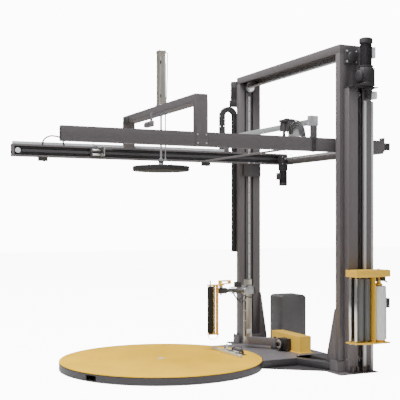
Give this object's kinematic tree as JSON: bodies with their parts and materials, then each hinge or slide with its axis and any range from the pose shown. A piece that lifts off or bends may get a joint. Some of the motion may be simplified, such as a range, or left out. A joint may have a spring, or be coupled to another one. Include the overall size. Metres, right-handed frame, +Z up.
{
  "type": "turntable pallet wrapper",
  "caption": "Turntable pallet wrapper with twin-column gantry, lifting top-sheet frame and press platen, film carriage mast and tail brush arm.",
  "frame": {"origin": "centre of the turntable on the floor", "axes": "+X from the turntable towards the gantry, +Y along the gantry towards the column without the film mast, +Z up"},
  "size_m": [3.522, 2.51, 3.175],
  "materials": {
    "dark_steel": "dark textured paint",
    "frame_paint": "warm dark grey powder coat",
    "deck_paint": "grey powder coat, scuffed",
    "yellow_paint": "yellow powder coat",
    "cabinet_paint": "dark grey powder coat",
    "white_paint": "white enamel",
    "motor_paint": "painted casting",
    "bright_steel": "ground steel",
    "zinc_plate": "zinc plated",
    "chain_steel": "oiled steel",
    "roller_chrome": "polished",
    "anodised": "satin anodised",
    "grey_rubber": "ground rubber",
    "belt_rubber": "toothed belt",
    "black_foam": "closed-cell foam",
    "black_plastic": "moulded",
    "stretch_film": "wound film"
  },
  "bodies": {
    "machine_frame": {"base_floor_plate": "dark_steel", "base_ring": "dark_steel", "base_frame": "frame_paint", "deck_plate": "deck_paint", "slewing_race": "bright_steel", "table_gearmotor": "motor_paint", "roller_brackets": "dark_steel", "columns": "frame_paint", "top_beam": "frame_paint", "column_feet": "frame_paint", "guide_rails": "bright_steel", "shaft_bearings": "motor_paint", "lift_belts": "belt_rubber", "lift_gearmotor": "motor_paint", "film_mast": "frame_paint", "mast_chain": "chain_steel", "mast_gearmotor": "motor_paint", "cable_guides": "black_plastic", "brush_base": "yellow_paint", "brush_gearmotor": "motor_paint", "cabinet_body": "cabinet_paint", "cabinet_board": "zinc_plate"},
    "turntable": {"turntable_plate": "yellow_paint", "slewing_gear": "bright_steel", "clamp_base": "zinc_plate"},
    "film_clamp": {"clamp_bar": "white_paint"},
    "drive_pinion": {"drive_pinion": "bright_steel"},
    "support_roller_1": {"support_roller_1": "black_plastic"},
    "support_roller_2": {"support_roller_2": "black_plastic"},
    "support_roller_3": {"support_roller_3": "black_plastic"},
    "lift_shaft": {"lift_shaft": "bright_steel"},
    "lift_idlers": {"lift_idlers": "bright_steel"},
    "mast_sprocket_top": {"mast_sprocket_top": "bright_steel"},
    "mast_sprocket_low": {"mast_sprocket_low": "bright_steel"},
    "film_carriage": {"carriage_plate": "dark_steel", "carriage_frame": "yellow_paint"},
    "film_spool": {"film_spool": "stretch_film"},
    "stretch_roller_a": {"stretch_roller_a": "grey_rubber"},
    "stretch_roller_b": {"stretch_roller_b": "grey_rubber"},
    "guide_roller_a": {"guide_roller_a": "roller_chrome"},
    "guide_roller_b": {"guide_roller_b": "roller_chrome"},
    "top_frame": {"frame_beams": "frame_paint", "lift_plates": "dark_steel", "press_portal": "frame_paint", "press_cylinder": "anodised", "belt_gearmotor": "motor_paint", "gripper_belts": "belt_rubber", "cutter_bridge": "anodised"},
    "belt_shaft": {"belt_shaft": "bright_steel"},
    "front_pulleys": {"front_pulleys": "zinc_plate"},
    "gripper_slides": {"gripper_slides": "dark_steel"},
    "gripper_jaws": {"gripper_jaws": "zinc_plate"},
    "cutter_carriage": {"cutter_carriage": "dark_steel"},
    "press": {"press_rods": "bright_steel", "press_platen": "black_foam"},
    "swing_arm": {"swing_arm": "anodised"},
    "brush_head": {"brush_head": "yellow_paint"},
    "sponge_roller": {"sponge_roller": "black_foam"},
    "cabinet_door": {"cabinet_door": "cabinet_paint"},
    "door_latch": {"door_latch": "black_plastic"}
  },
  "joints": [
    {"name": "table_spin", "type": "hinge", "parent": "machine_frame", "child": "turntable", "pos_m": [0, 0, 0.072], "axis": [0, 0, 1], "continuous": true},
    {"name": "pinion_spin", "type": "hinge", "parent": "machine_frame", "child": "drive_pinion", "pos_m": [0.2885, 0, 0.05], "axis": [0, 0, 1], "continuous": true},
    {"name": "support_roller_1_spin", "type": "hinge", "parent": "machine_frame", "child": "support_roller_1", "pos_m": [0.43, 0.74478, 0.0446], "axis": [0.5, 0.866, 0], "continuous": true},
    {"name": "support_roller_2_spin", "type": "hinge", "parent": "machine_frame", "child": "support_roller_2", "pos_m": [-0.86, 0, 0.0446], "axis": [-1, 0, 0], "continuous": true},
    {"name": "support_roller_3_spin", "type": "hinge", "parent": "machine_frame", "child": "support_roller_3", "pos_m": [0.43, -0.74478, 0.0446], "axis": [0.5, -0.866, 0], "continuous": true},
    {"name": "clamp_tilt", "type": "hinge", "parent": "turntable", "child": "film_clamp", "pos_m": [0.8, 0, 0.106], "axis": [0, 1, 0], "range_deg": [0, 60]},
    {"name": "carriage_lift", "type": "slide", "parent": "machine_frame", "child": "film_carriage", "axis": [0, 0, 1], "range_m": [-0.15, 1.6]},
    {"name": "mast_sprocket_top_spin", "type": "hinge", "parent": "machine_frame", "child": "mast_sprocket_top", "pos_m": [1.577, -1.096, 2.645], "axis": [1, 0, 0], "range_deg": [-3065.8, 296.5]},
    {"name": "mast_sprocket_low_spin", "type": "hinge", "parent": "machine_frame", "child": "mast_sprocket_low", "pos_m": [1.577, -1.096, 0.13], "axis": [1, 0, 0], "range_deg": [-3065.8, 296.5]},
    {"name": "film_spool_spin", "type": "hinge", "parent": "film_carriage", "child": "film_spool", "pos_m": [1.7, -1.25, 0.56], "axis": [0, 0, 1], "continuous": true},
    {"name": "stretch_roller_b_spin", "type": "hinge", "parent": "film_carriage", "child": "stretch_roller_b", "pos_m": [1.574, -1.235, 0.56], "axis": [0, 0, 1], "continuous": true},
    {"name": "stretch_roller_a_spin", "type": "hinge", "parent": "film_carriage", "child": "stretch_roller_a", "pos_m": [1.497, -1.235, 0.56], "axis": [0, 0, 1], "continuous": true},
    {"name": "guide_roller_a_spin", "type": "hinge", "parent": "film_carriage", "child": "guide_roller_a", "pos_m": [1.417, -1.195, 0.56], "axis": [0, 0, 1], "continuous": true},
    {"name": "guide_roller_b_spin", "type": "hinge", "parent": "film_carriage", "child": "guide_roller_b", "pos_m": [1.439, -1.252, 0.56], "axis": [0, 0, 1], "continuous": true},
    {"name": "frame_lift", "type": "slide", "parent": "machine_frame", "child": "top_frame", "axis": [0, 0, 1], "range_m": [-1.25, 0]},
    {"name": "lift_shaft_spin", "type": "hinge", "parent": "machine_frame", "child": "lift_shaft", "pos_m": [1.52, 0, 3.007], "axis": [0, 1, 0], "range_deg": [-1537.1, 10]},
    {"name": "lift_idlers_spin", "type": "hinge", "parent": "machine_frame", "child": "lift_idlers", "pos_m": [1.52, 0, 0.22], "axis": [0, 1, 0], "range_deg": [-1537.1, 10]},
    {"name": "gripper_travel", "type": "slide", "parent": "top_frame", "child": "gripper_slides", "axis": [1, 0, 0], "range_m": [-0.7, 1.25]},
    {"name": "belt_shaft_spin", "type": "hinge", "parent": "top_frame", "child": "belt_shaft", "pos_m": [1.9, 0, 2.17], "axis": [0, 1, 0], "range_deg": [-1351.4, 2405.3]},
    {"name": "front_pulleys_spin", "type": "hinge", "parent": "top_frame", "child": "front_pulleys", "pos_m": [-1.217, 0, 2.17], "axis": [0, 1, 0], "range_deg": [-1351.4, 2405.3]},
    {"name": "gripper_jaw_tilt", "type": "hinge", "parent": "gripper_slides", "child": "gripper_jaws", "pos_m": [-0.335, 0, 2.205], "axis": [0, 1, 0], "range_deg": [0, 55]},
    {"name": "cutter_travel", "type": "slide", "parent": "top_frame", "child": "cutter_carriage", "axis": [0, 1, 0], "range_m": [-0.3, 1.15]},
    {"name": "press_stroke", "type": "slide", "parent": "top_frame", "child": "press", "axis": [0, 0, -1], "range_m": [0, 0.42]},
    {"name": "arm_swing", "type": "hinge", "parent": "machine_frame", "child": "swing_arm", "pos_m": [1.33, 0.05, 0], "axis": [0, 0, -1], "range_deg": [-8, 38]},
    {"name": "head_turn", "type": "hinge", "parent": "swing_arm", "child": "brush_head", "pos_m": [0.8, 0.275, 0], "axis": [0, 0, 1], "range_deg": [-20, 20]},
    {"name": "sponge_spin", "type": "hinge", "parent": "brush_head", "child": "sponge_roller", "pos_m": [0.663, 0.25, 0], "axis": [0, 0, 1], "continuous": true},
    {"name": "door_swing", "type": "hinge", "parent": "machine_frame", "child": "cabinet_door", "pos_m": [2.232, 1.129, 0], "axis": [0, 0, 1], "range_deg": [0, 110]},
    {"name": "latch_turn", "type": "hinge", "parent": "cabinet_door", "child": "door_latch", "pos_m": [2.224, 0.898, 0.265], "axis": [1, 0, 0], "range_deg": [0, 90]}
  ],
  "couplings": [
    {"joint": "pinion_spin", "follows": "table_spin", "ratio": -5},
    {"joint": "support_roller_1_spin", "follows": "table_spin", "ratio": -31.852},
    {"joint": "support_roller_2_spin", "follows": "table_spin", "ratio": -31.852},
    {"joint": "support_roller_3_spin", "follows": "table_spin", "ratio": -31.852},
    {"joint": "mast_sprocket_top_spin", "follows": "carriage_lift", "rad_per_m": -33.333},
    {"joint": "mast_sprocket_low_spin", "follows": "carriage_lift", "rad_per_m": -33.333},
    {"joint": "stretch_roller_a_spin", "follows": "stretch_roller_b_spin", "ratio": -2.5},
    {"joint": "lift_shaft_spin", "follows": "frame_lift", "rad_per_m": 21.322},
    {"joint": "lift_idlers_spin", "follows": "frame_lift", "rad_per_m": 21.322},
    {"joint": "belt_shaft_spin", "follows": "gripper_travel", "rad_per_m": 33.445},
    {"joint": "front_pulleys_spin", "follows": "gripper_travel", "rad_per_m": 33.445}
  ]
}
